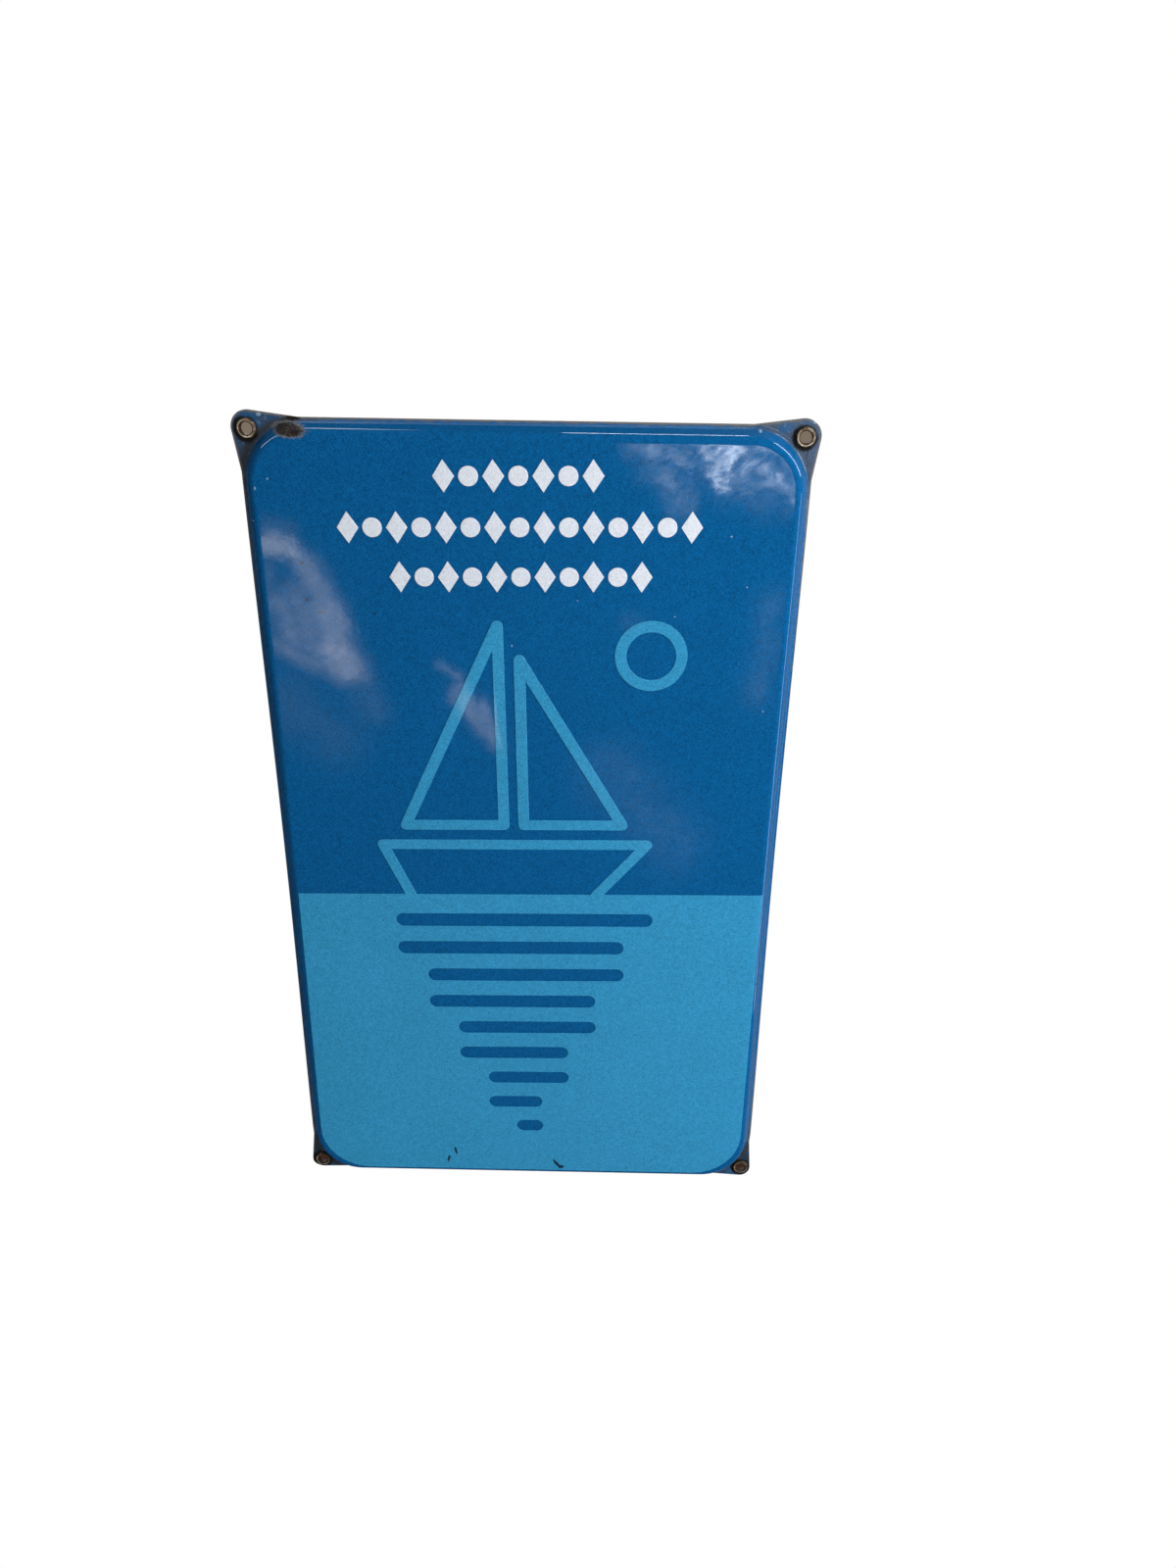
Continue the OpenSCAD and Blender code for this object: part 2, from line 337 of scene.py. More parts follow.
def makeEnamelGrain():  # the fired surface: a speckled tint and the height of its orange peel, in mm
    look = grainForm
    inputs = {"Position": "Vector", "Calm": "Float"}
    tree, given, made = makeGroup("enamelGrain", inputs, {"Tint": "Float", "Height": "Float"})
    speckle = cloud(tree, given["Position"], look["speckle"], detail=2, roughness=0.7)
    shade = cloud(tree, given["Position"], look["shade"], detail=2)
    tint = spread(tree, speckle, *look["speckleTint"])
    tint = plus(tree, tint, spread(tree, shade, *look["shadeTint"]))
    mottle = cloud(tree, given["Position"], look["mottle"], detail=2, roughness=0.6)
    tint = plus(tree, tint, spread(tree, mottle, *look["mottleTint"]))
    feed(tree, made["Tint"], tint)
    sway = cloud(tree, given["Position"], look["sway"], detail=1)
    peel = cloud(tree, given["Position"], look["peel"], detail=2, roughness=0.5)
    fine = cloud(tree, given["Position"], look["fine"], detail=1)
    height = times(tree, sway, look["swayHeight"])
    height = plus(tree, height, times(tree, peel, spread(tree, given["Calm"], *look["peelHeight"])))
    height = plus(tree, height, times(tree, fine, look["fineHeight"]))
    feed(tree, made["Height"], height)
    return tree


eyeletDistance = makeEyeletDistance()
outlineInset = makeOutlineInset()
spot = makeSpot()
enamelGrain = makeEnamelGrain()


def spotMask(tree, position, x, z, wide, high, turn=0, ragged=0.6, soft=0.3):
    inputs = {"Position": position, "Centre": (x, 0, z), "Size": (wide, 1, high),
              "Turn": math.radians(turn), "Ragged": ragged, "Soft": soft}
    return useGroup(tree, spot, inputs)["Mask"]


def beyondAxis(tree, position, direction):  # how far a point lies beyond its eyelet's axis in a direction
    axis = vectorCalc(tree, "MULTIPLY", vectorCalc(tree, "SIGN", position), hole / mm)
    return vectorCalc(tree, "DOT_PRODUCT", vectorCalc(tree, "SUBTRACT", position, axis), direction)


def allSpots(tree, position, places):
    mask = 0.0
    for place in places:
        mask = most(tree, spotMask(tree, position, *place), mask)
    return mask


# Enamel materials

darkEnamel = {
    "blue": colour(8, 85, 139),
    "groundCoat": colour(16, 26, 40),
    "earGrime": colour(50, 64, 84),
    "earPaleTopRight": colour(72, 86, 104),  # paler on the top right ear
    "earSoot": colour(34, 38, 42),  # on the lower ears
    "grime": colour(34, 36, 38),
    "creviceTop": colour(66, 72, 76),
    "ringDirt": colour(20, 18, 17),
    "rimWear": colour(104, 102, 100),
    "rust": colour(50, 33, 25),
    "rustDark": colour(19, 17, 17),
    "scale": colour(126, 106, 78),  # light specks in the rust
    "scratch": colour(128, 146, 164),
    "chipEdge": colour(112, 112, 112),
    "paleSpeck": colour(150, 180, 205),
    "pit": colour(58, 66, 74),  # on the back
    "roughness": 0.045,
    "dullRoughness": 0.6,
    "rustDepth": 0.16,  # of what is chipped away, in mm
    "lumps": 3.2,  # sizes of the uneven dirt, in mm
    "patches": 11,
    # where each kind of dirt sets in and is full, in mm
    "backPlane": (-4.2, -2.0),
    "earX": (96, 122),
    "earZ": (196, 222),
    "rightTop": (-40, 40),
    "lowerEars": (100, -100),
    "crevice": (2.6, 0.6),
    "creviceSide": (60, -60),
    "hollowX": (122, 112),
    "hollowY": (-4.6, -3.0),
    "hollowZ": (110, 10),
    "ring": (7.5, 5.7),
    "ringBelow": (-0.11, 0, -0.07),  # the ring is wider to the left and below
    "wear": (1.5, 0.4),
    "backRust": (3.5, 0.0),
    # x, z, half width, half height in mm, turn in degrees, raggedness, softness
    "calmSpots": [(-130, 238, 24, 18, 0, 0.3, 0.8), (112, 232, 55, 34, 12, 0.4, 0.9)],
    "chips": [(-121.5, 244.3, 7.8, 2.9, -5, 0.8, 0.25)],
    "rustSpots": [(-120.3, 249.8, 3.8, 1.6, 4, 0.7, 0.4), (19, -250, 2.2, 1.6, 0, 0.8, 0.4)],
    "paleSpecks": [(-134, 220, 0.55, 0.55), (-141, 215, 0.45, 0.9), (-144, 198, 0.6, 0.4),
                   (109, 194, 0.5, 0.5), (119, 167, 0.4, 0.4), (81, 150, 0.4, 0.4),
                   (-8, 132, 0.3, 0.8), (28, 158, 0.4, 0.3), (133, 96, 0.5, 0.4),
                   (-138, 251, 1.2, 0.9), (149.5, 251.5, 1.4, 0.8), (121, 247, 0.8, 0.7)],
    "darkSpecks": [(-120, 176, 1.1, 0.8), (-119, 156, 1.0, 1.0), (-112, 149, 2.2, 0.5),
                   (-83, 149, 0.7, 0.9)],
}
lightEnamel = {
    "blue": colour(50, 141, 186),
    "roughness": 0.06,
    "nicks": [(-51, -226, 0.8, 3.2, 12), (-56, -233, 0.8, 3.0, -14), (17.5, -235.5, 1.0, 3.8, 35),
              (20.5, -238.5, 1.9, 1.4, 10),
              (88, -96, 0.5, 0.4), (-96, -60, 0.4, 0.5), (64, -178, 0.4, 0.4)],
    "nick": colour(6, 40, 66),
}
whiteEnamel = {
    "white": colour(215, 221, 230),
    "stain": colour(178, 186, 196),
    "roughness": (0.2, 0.35),  # clean and stained
}


def coatShader(tree, surface, height, inputs):  # the height of the relief is in mm
    bump = put(tree, "Bump", {"Height": height, "Strength": 1.0, "Distance": mm})
    shader = put(tree, "BsdfPrincipled", {"Normal": bump.outputs["Normal"], **inputs})
    tree.links.new(shader.outputs[0], surface)


def makeDarkEnamel():
    material, tree, surface = newMaterial("darkBlueEnamel")
    look = darkEnamel
    position = positionInMm(tree)
    parts = split(tree, position)
    facing = split(tree, put(tree, "NewGeometry").outputs["Normal"])["Y"]
    eyelet = useGroup(tree, eyeletDistance, {"Position": position})["Distance"]
    outline = useGroup(tree, outlineInset, {"Position": position})
    inset = outline["Inset"]
    lumps = cloud(tree, position, look["lumps"], detail=4, roughness=0.6)
    patches = cloud(tree, position, look["patches"], detail=3, roughness=0.55)

    calm = allSpots(tree, position, look["calmSpots"])
    grain = useGroup(tree, enamelGrain, {"Position": position, "Calm": calm})
    base = blend(tree, 1.0, look["blue"], grain["Tint"], "MULTIPLY")

    # the ears and the lip lie at the back plane, where dirt gathers
    low = fade(tree, parts["Y"], *look["backPlane"])
    corner = times(tree, fade(tree, calc(tree, "ABSOLUTE", parts["X"]), *look["earX"]),
                   fade(tree, calc(tree, "ABSOLUTE", parts["Z"]), *look["earZ"]))
    onEar = times(tree, low, corner)
    scuffed = times(tree, onEar, fade(tree, patches, 0.25, 0.6))
    rightTop = times(tree, fade(tree, parts["X"], *look["rightTop"]),
                     fade(tree, parts["Z"], *look["rightTop"]))
    # the top right ear is paler
    earTone = blend(tree, rightTop, look["earGrime"], look["earPaleTopRight"])
    earTone = blend(tree, fade(tree, parts["Z"], *look["lowerEars"]), earTone, look["earSoot"])
    earTone = blend(tree, times(tree, fade(tree, lumps, 0.55, 0.7), 0.6), earTone, look["grime"])
    base = blend(tree, times(tree, scuffed, 0.85), base, earTone)
    marks = vectorCalc(tree, "MULTIPLY", position, (1, 1, 0.45))
    marks = times(tree, fade(tree, cloud(tree, marks, 1.1, detail=2), 0.6, 0.7), onEar)
    base = blend(tree, times(tree, marks, 0.4), base, look["scratch"])
    foot = calc(tree, "ABSOLUTE", plus(tree, outline["Plate"], spread(tree, patches, -1.6, 2.4)))
    crevice = times(tree, fade(tree, foot, *look["crevice"]), corner)
    leftOrLow = most(tree, fade(tree, parts["X"], *look["creviceSide"]),
                     fade(tree, parts["Z"], *look["creviceSide"]))
    crevice = times(tree, crevice, spread(tree, leftOrLow, 0.35, 1.0))
    crevice = times(tree, crevice, spread(tree, lumps, 0.55, 1.25), clamp=True)
    base = blend(tree, crevice, base, blend(tree, patches, look["grime"], look["creviceTop"]))
    ringEdge = plus(tree, eyelet, spread(tree, lumps, -1.6, 1.6))
    below = beyondAxis(tree, position, look["ringBelow"])
    ringEdge = calc(tree, "SUBTRACT", ringEdge, spread(tree, fade(tree, below, -0.7, 0.6), -0.5, 0.7))
    ring = times(tree, fade(tree, ringEdge, *look["ring"]), low)
    base = blend(tree, ring, base, look["ringDirt"])

    # wear along the outline
    worn = fade(tree, plus(tree, inset, spread(tree, lumps, -0.8, 0.8)), *look["wear"])
    base = blend(tree, worn, base, look["rimWear"])

    # chips down to rusted steel, with a pale broken edge
    chip = allSpots(tree, position, look["chips"])
    rims = [(x, z, wide * 1.18, high * 1.35, *rest) for x, z, wide, high, *rest in look["chips"]]
    base = blend(tree, times(tree, allSpots(tree, position, rims), 0.75), base, look["chipEdge"])
    grains = fade(tree, cloud(tree, position, 1.3, detail=3), 0.46, 0.62)
    rust = blend(tree, grains, look["rustDark"], look["rust"])
    flecks = fade(tree, cloud(tree, position, 0.9, detail=1), 0.64, 0.7)
    rust = blend(tree, flecks, rust, look["scale"])
    rusted = most(tree, chip, allSpots(tree, position, look["rustSpots"]))
    base = blend(tree, rusted, base, rust)
    darkSpecks = allSpots(tree, position, look["darkSpecks"])
    base = blend(tree, times(tree, darkSpecks, 0.7), base, look["grime"])
    paleSpecks = allSpots(tree, position, look["paleSpecks"])
    base = blend(tree, times(tree, paleSpecks, 0.6), base, look["paleSpeck"])

    # the back has the plain ground coat, with pits and rust at its edge
    pits = fade(tree, cloud(tree, position, 1.1, detail=2), 0.62, 0.7)
    backCoat = blend(tree, times(tree, pits, 0.7), look["groundCoat"], look["pit"])
    backRust = fade(tree, plus(tree, inset, spread(tree, patches, -9, 9)), *look["backRust"])
    backCoat = blend(tree, backRust, backCoat, rust)
    front = fade(tree, facing, 0.1, -0.1)
    base = blend(tree, front, backCoat, base)

    # where the gloss is lost, except at the foot of the top right corner
    clean = times(tree, rightTop, fade(tree, outline["Plate"], -1.2, 0.4))
    soiled = times(tree, most(tree, onEar, crevice), calc(tree, "SUBTRACT", 1, clean))
    dull = most(tree, most(tree, most(tree, soiled, ring), rusted), worn)
    hollow = most(tree, fade(tree, parts["X"], *look["hollowX"]), fade(tree, parts["Z"], *look["hollowZ"]))
    hollow = times(tree, fade(tree, parts["Y"], *look["hollowY"]), hollow)
    dull = most(tree, dull, times(tree, hollow, 0.6))
    rough = spread(tree, dull, look["roughness"], look["dullRoughness"])
    rough = plus(tree, rough, spread(tree, lumps, -0.02, 0.02))
    rough = calc(tree, "SUBTRACT", rough, times(tree, calm, 0.02))
    height = plus(tree, grain["Height"], times(tree, rusted, -look["rustDepth"]))
    height = plus(tree, height, times(tree, times(tree, dull, lumps), 0.05))
    coatShader(tree, surface, height, {"Base Color": base, "Roughness": rough, "IOR": 1.5})
    return material


def makeLightEnamel():
    material, tree, surface = newMaterial("lightBlueEnamel")
    look = lightEnamel
    position = positionInMm(tree)
    grain = useGroup(tree, enamelGrain, {"Position": position, "Calm": 0.0})
    base = blend(tree, 1.0, look["blue"], grain["Tint"], "MULTIPLY")
    nicks = allSpots(tree, position, look["nicks"])
    base = blend(tree, nicks, base, look["nick"])
    rough = plus(tree, times(tree, nicks, 0.3), look["roughness"])
    height = plus(tree, grain["Height"], times(tree, nicks, -0.12))
    coatShader(tree, surface, height, {"Base Color": base, "Roughness": rough, "IOR": 1.5})
    return material


def makeWhiteEnamel():
    material, tree, surface = newMaterial("whiteEnamel")
    look = whiteEnamel
    position = positionInMm(tree)
    grain = useGroup(tree, enamelGrain, {"Position": position, "Calm": 0.0})
    base = blend(tree, 0.5, look["white"], grain["Tint"], "MULTIPLY")
    stain = fade(tree, cloud(tree, position, 5, detail=4), 0.55, 0.8)
    base = blend(tree, times(tree, stain, 0.25), base, look["stain"])
    rough = spread(tree, stain, *look["roughness"])
    coatShader(tree, surface, grain["Height"], {"Base Color": base, "Roughness": rough, "IOR": 1.5})
    return material


# Eyelets of aged brass

eyeletForm = {
    "bore": 3.2 * mm,
    "wall": 0.5 * mm,
    "turn": 0.8 * mm,
    "frontRoll": 1.3 * mm,
    "backRoll": 0.9 * mm,
    "steps": 72,
    "rollSteps": 6,
    "outerSteps": 8,
    "dent": 0.22 * mm,
    "dentSize": 2.6 * mm,
    "dentInward": 0.8,  # how much of a dent's depth goes sideways
    "brass": colour(138, 122, 98),
    "brown": colour(88, 70, 52),
    # the crest colour: partly the roll's worn brass, partly a painted highlight
    "crest": colour(226, 211, 184),
    # painted shade on the bore's inner wall; the lower eyelets are darkened with this colour too
    "inside": colour(52, 36, 26),
    "dirt": colour(26, 22, 18),
    # distances from the axis at which each tone sets in and is full, in mm
    "crestInner": (3.75, 4.05),
    "crestOuter": (4.75, 4.3),
    "outerDirt": (4.8, 5.4),
    "boreShade": (3.95, 3.6),
    "lower": (100, -100),
    "paintedHighlightSide": (-0.15, 0, -0.2),  # painted highlight: the rolls are painted brightest at their lower left
}


def makeAgedBrass():
    material, tree, surface = newMaterial("agedBrass")
    look = eyeletForm
    position = positionInMm(tree)
    reach = useGroup(tree, eyeletDistance, {"Position": position})["Distance"]
    lumps = cloud(tree, position, 1.6, detail=4, roughness=0.65)
    tarnish = fade(tree, cloud(tree, position, 3.0, detail=3), 0.38, 0.62)
    base = blend(tree, tarnish, look["brass"], look["brown"])
    ragged = plus(tree, reach, spread(tree, lumps, -0.5, 0.5))
    crest = times(tree, fade(tree, ragged, *look["crestInner"]), fade(tree, ragged, *look["crestOuter"]))
    height = split(tree, position)["Z"]
    lower = fade(tree, height, *look["lower"])
    # darker on the lower eyelets, in the colour of the bore's painted shade
    base = blend(tree, times(tree, lower, 0.7), base, look["inside"])
    # painted highlight: the crest is lightened most at each eyelet's lower left, less where tarnished and
    # on the lower eyelets
    paintedHighlight = beyondAxis(tree, position, look["paintedHighlightSide"])
    paintedHighlight = spread(tree, fade(tree, paintedHighlight, -0.5, 0.8), 0.3, 1.3)
    bright = times(tree, spread(tree, tarnish, 1.0, 0.45), spread(tree, lower, 0.95, 0.6))
    bright = times(tree, bright, paintedHighlight, clamp=True)
    crestWearAndHighlight = times(tree, crest, bright)
    base = blend(tree, crestWearAndHighlight, base, look["crest"])
    outer = fade(tree, ragged, *look["outerDirt"])
    # painted shade: the bore's inner wall is darkened
    inner = fade(tree, reach, *look["boreShade"])
    base = blend(tree, inner, base, look["inside"])
    base = blend(tree, outer, base, look["dirt"])
    dirtAndBoreShade = most(tree, outer, inner)
    # less metallic where the painted highlight lies, so that it shows as pale colour
    metallic = times(tree, spread(tree, dirtAndBoreShade, 0.55, 0.1), spread(tree, crestWearAndHighlight, 1.0, 0.15))
    rough = plus(tree, spread(tree, dirtAndBoreShade, 0.38, 0.7), spread(tree, lumps, -0.1, 0.1))
    inputs = {"Base Color": base, "Metallic": metallic, "Roughness": rough}
    coatShader(tree, surface, times(tree, lumps, 0.06), inputs)
    return material


# Making pieces

weld = 1e-6  # points this near to each other become one
flatness = 1e-7  # and this near to a plane lie in it


def takeMesh(bm, name):
    mesh = bpy.data.meshes.new(name)
    bm.to_mesh(mesh)
    bm.free()
    return mesh


def finishPiece(name, mesh, material, slot, *nodes):
    for polygon in mesh.polygons:
        polygon.use_smooth = True
    mesh.materials.clear()
    mesh.materials.append(material)
    piece = bpy.data.objects.new(name, mesh)
    bpy.context.scene.collection.objects.link(piece)
    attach(piece, "root")
    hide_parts(*nodes)
    return piece


def addModifier(piece, kind, **settings):
    modifier = piece.modifiers.new(kind.lower(), kind)
    for name, value in settings.items():
        setattr(modifier, name, value)


def arc(centre, radius, start, end, steps):
    angles = [start + (end - start) * i / steps for i in range(steps + 1)]
    return [centre + radius * Vector((math.cos(angle), math.sin(angle))) for angle in angles]


# distance in from the plate's edge at which the flat face begins
flank = sheetForm["flank"]
faceInset = sheetForm["lip"] + (sheetForm["foot"] + sheetForm["shoulder"]) * math.tan(flank / 2)
faceInset += (sheetForm["press"] - sheetForm["sheet"]) / math.tan(flank)


def rimSection():  # front surface from the lip in to the face: x is the distance in, y forward
    form = sheetForm
    footCentre = Vector((form["lip"], form["sheet"] + form["foot"]))
    shoulderCentre = Vector((faceInset, form["press"] - form["shoulder"]))
    turn = form["flank"]
    quarter = math.pi / 2
    points = arc(footCentre, form["foot"], -quarter, turn - quarter, form["footSteps"])
    points += arc(shoulderCentre, form["shoulder"], turn + quarter, quarter, form["shoulderSteps"])
    points += [Vector((faceInset + step, form["press"])) for step in form["faceSteps"]]
    return points


def chain(bm, points):
    verts = [bm.verts.new(point) for point in points]
    return verts, [bm.edges.new(pair) for pair in zip(verts, verts[1:])]


def allOf(bm):
    return bm.verts[:] + bm.edges[:] + bm.faces[:]


def drag(bm, edges, direction, length, steps):  # extrude a chain of edges along a straight line
    for step in range(steps):
        made = bmesh.ops.extrude_edge_only(bm, edges=edges)["geom"]
        verts = [item for item in made if isinstance(item, bmesh.types.BMVert)]
        edges = [item for item in made if isinstance(item, bmesh.types.BMEdge)]
        bmesh.ops.translate(bm, verts=verts, vec=direction * length / steps)
    return edges


earForm = {
    # how much shorter than the frame's the two lower ears are, at the side and at the end
    "left": (0.9 * mm, 2.4 * mm),
    "right": (1.8 * mm, 1.5 * mm),
    "inner": 6.8 * mm,  # depth from the ear's edge in, over which it is pressed together
    # from where to where along the edges the shortening sets in
    "endFrom": (118 * mm, 132 * mm),
    "sideFrom": (214 * mm, 232 * mm),
}


def shortenEar(place):  # the ears at the bottom end nearer their eyelets
    form = earForm
    fromHole = math.hypot(abs(place.x) - hole.x, abs(place.z) - hole.z)
    onHole = fromHole < sheetForm["holeRadius"] + 0.1 * mm
    if place.z > 0 or onHole:
        return
    sideLess, endLess = form["left"] if place.x < 0 else form["right"]
    beyondEnd = max(-place.z - panelHigh[2] + form["inner"], 0) / form["inner"]
    beyondSide = max(abs(place.x) - panelHigh[0] + form["inner"], 0) / form["inner"]
    end = endLess * beyondEnd * smooth(abs(place.x), *form["endFrom"])
    side = sideLess * beyondSide * smooth(-place.z, *form["sideFrom"])
    place.z += end
    place.x -= math.copysign(side, place.x)


def makePanel(material):
    form = sheetForm
    bm = bmesh.new()
    # the bent rim of the top right quarter: along the top, round the corner, down the side
    section = [Vector((cornerX, -p.y, halfHeight - p.x)) for p in rimSection()]
    verts, edges = chain(bm, section)
    drag(bm, edges, Vector((-1, 0, 0)), cornerX, form["endSteps"])
    made = bmesh.ops.spin(bm, geom=verts + edges, cent=(cornerX, 0, cornerZ), axis=(0, 1, 0),
                          angle=math.pi / 2, steps=form["cornerSteps"])["geom_last"]
    lastEdges = [item for item in made if isinstance(item, bmesh.types.BMEdge)]
    drag(bm, lastEdges, Vector((0, 0, -1)), cornerZ, form["sideSteps"])
    bmesh.ops.remove_doubles(bm, verts=bm.verts, dist=weld)
    # two edges of the flat face inside the rim, along the middles of the sign
    faceY = -form["press"]
    innerX = halfWidth - rimSection()[-1].x
    innerZ = halfHeight - rimSection()[-1].x
    chain(bm, [Vector((0, faceY, innerZ)), Vector((0, faceY, 0)), Vector((innerX, faceY, 0))])
    # the flat lip with its ear, round the outside
    lipY = -form["sheet"]
    alongEnd = [cornerX * i / form["endSteps"] for i in range(form["endSteps"] + 1)]
    outline = [Vector((x, lipY, halfHeight)) for x in alongEnd if x < endFoot.x - 1 * mm]
    outline.append(Vector((endFoot.x, lipY, halfHeight)))
    outline += [Vector((p.x, lipY, p.y))
                for p in arc(tip, form["earTip"], endAngle, sideAngle, form["tipSteps"])]
    outline.append(Vector((halfWidth, lipY, sideFoot.y)))
    outline += [Vector((halfWidth, lipY, cornerZ * i / form["sideSteps"]))
                for i in range(form["sideSteps"], -1, -1)]
    chain(bm, outline)
    chain(bm, [outline[-1], Vector((halfWidth - form["lip"], lipY, 0))])
    chain(bm, [outline[0], Vector((0, lipY, halfHeight - form["lip"]))])
    bmesh.ops.create_circle(bm, segments=form["holeSteps"], radius=form["holeRadius"], cap_ends=False,
                            matrix=Matrix.Translation((hole.x, lipY, hole.z)) @
                            Matrix.Rotation(math.pi / 2, 4, "X"))
    bmesh.ops.remove_doubles(bm, verts=bm.verts, dist=2 * weld)
    openEdges = [edge for edge in bm.edges if len(edge.link_faces) < 2]
    flatLip = [edge for edge in openEdges if all(abs(v.co.y - lipY) < flatness for v in edge.verts)]
    flatFace = [edge for edge in openEdges
                if all(abs(v.co.y - faceY) < flatness for v in edge.verts) and
                not any(v.co.x > innerX + 10 * weld or v.co.z > innerZ + 10 * weld for v in edge.verts)]
    bmesh.ops.triangle_fill(bm, use_beauty=True, edges=flatLip)
    bmesh.ops.triangle_fill(bm, use_beauty=True, edges=flatFace)
    for axis in ("X", "Z"):
        bmesh.ops.mirror(bm, geom=allOf(bm), axis=axis, merge_dist=weld)
    bmesh.ops.remove_doubles(bm, verts=bm.verts, dist=2 * weld)
    bmesh.ops.recalc_face_normals(bm, faces=bm.faces)
    if sum(face.normal.y * face.calc_area() for face in bm.faces) > 0:
        bmesh.ops.reverse_faces(bm, faces=bm.faces)
    for vert in bm.verts:
        shortenEar(vert.co)
        vert.co.x = pulledIn(vert.co.x, vert.co.z)
    openEdges = [edge for edge in bm.edges if edge.is_boundary]
    print("panel quarter mirrored:", len(bm.faces), "faces,", len(openEdges), "open edges")
    mesh = takeMesh(bm, "panelSheet")
    piece = finishPiece("panelSheet", mesh, material, "dark_blue_enamel", "panel")
    addModifier(piece, "SOLIDIFY", thickness=form["sheet"], offset=-1, use_even_offset=True,
                use_quality_normals=True)
    addModifier(piece, "BEVEL", width=form["edgeRound"], segments=3, limit_method="ANGLE",
                angle_limit=math.radians(50))
    addModifier(piece, "WEIGHTED_NORMAL", mode="FACE_AREA", weight=50, keep_sharp=False)


layerForm = {
    "edge": 0.22 * mm,  # rounding of an enamel layer's upper edge
    "pitch": 9 * mm,  # height of the bands that a layer is cut into, so that it can follow the sides
    "cuts": (130, 134, 137.5, 139.3, 140.3),  # and where it is cut upright, in mm from the middle
    "fieldCorner": 31 * mm,  # radius of the light field's lower corners
    "runOver": 0.9 * mm,  # how far the field runs on over the shoulder
    "runOverRight": 1.6 * mm,  # and how much further at its top right
    "rightFrom": -220 * mm,  # the height at which that begins
    "rightRise": 187 * mm,
    "runFrom": 12.5 * mm,  # distance from the field's edge at which the spreading begins
}


def runOver(place, reach):  # the field's edge spread outward, down over the shoulder
    form = layerForm
    corner = form["fieldCorner"]
    out = Vector((max(abs(place.x) - reach.x + corner, 0), max(abs(place.z) - reach.y + corner, 0)))
    if place.z > 0 or out.length < 1e-9:
        return
    risen = min(max((place.z - form["rightFrom"]) / form["rightRise"], 0), 1)
    further = min(max(place.x / reach.x, 0), 1) * risen * form["runOverRight"]
    shift = smooth(out.length, corner - form["runFrom"], corner) * (form["runOver"] + further)
    away = out.normalized() * shift
    place.x += math.copysign(away.x, place.x)
    place.z -= away.y
    fromCorner = math.hypot(max(abs(place.x) - cornerX, 0), max(abs(place.z) - cornerZ, 0))
    past = max(fromCorner - sheetForm["corner"] + faceInset, 0)
    place.y += sheetForm["shoulder"] - math.sqrt(sheetForm["shoulder"] ** 2 - past * past)


def cut(bm, place, direction):
    bmesh.ops.bisect_plane(bm, geom=allOf(bm), dist=flatness, plane_co=place, plane_no=direction)


def makeLayer(name, node, material, slot):  # a fired layer, copied from the frame, its edge melted round
    bm = bmesh.new()
    bm.from_mesh(frame["nodes"][node].data)
    bmesh.ops.remove_doubles(bm, verts=bm.verts, dist=2 * weld)
    bmesh.ops.dissolve_limit(bm, angle_limit=math.radians(1), verts=bm.verts, edges=bm.edges)
    low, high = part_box(node)
    top = [edge for edge in bm.edges if len(edge.link_faces) == 2 and
           all(abs(v.co.y - low[1]) < weld for v in edge.verts) and edge.calc_face_angle() > 1]
    bmesh.ops.bevel(bm, geom=top, offset=layerForm["edge"], offset_type="OFFSET", segments=3, profile=0.5,
                    affect="EDGES", clamp_overlap=True, material=-1)
    steps = int((high[2] - low[2]) / layerForm["pitch"])
    for i in range(1, steps):
        cut(bm, (0, 0, low[2] + (high[2] - low[2]) * i / steps), (0, 0, 1))
    for side in (-1, 1):
        for place in layerForm["cuts"]:
            cut(bm, (side * place * mm, 0, 0), (1, 0, 0))
    bmesh.ops.triangulate(bm, faces=bm.faces)
    for vert in bm.verts:
        runOver(vert.co, Vector((high[0], -low[2])))
        vert.co.x = pulledIn(vert.co.x, vert.co.z)
    mesh = takeMesh(bm, name)
    print(name, len(mesh.polygons), "faces")
    piece = finishPiece(name, mesh, material, slot, node)
    addModifier(piece, "WEIGHTED_NORMAL", mode="FACE_AREA", weight=50, keep_sharp=False)


def eyeletSection():  # the metal's outer skin: x is the distance from the axis, y the distance forward
    form = eyeletForm
    crest = form["bore"] + form["turn"]
    front = sheetForm["sheet"] + form["frontRoll"] - form["turn"]
    back = form["turn"] - form["backRoll"]
    quarter = math.pi / 2
    steps = form["rollSteps"]
    points = arc(Vector((crest, 0)), form["backRoll"], 0, -quarter, steps)
    points += arc(Vector((crest, back)), form["turn"], -quarter, -2 * quarter, steps)[1:]
    points += arc(Vector((crest, front)), form["turn"], 2 * quarter, quarter, steps)
    sheetTop = Vector((crest, sheetForm["sheet"]))
    points += arc(sheetTop, form["frontRoll"], quarter, 0, form["outerSteps"])[1:]
    return points


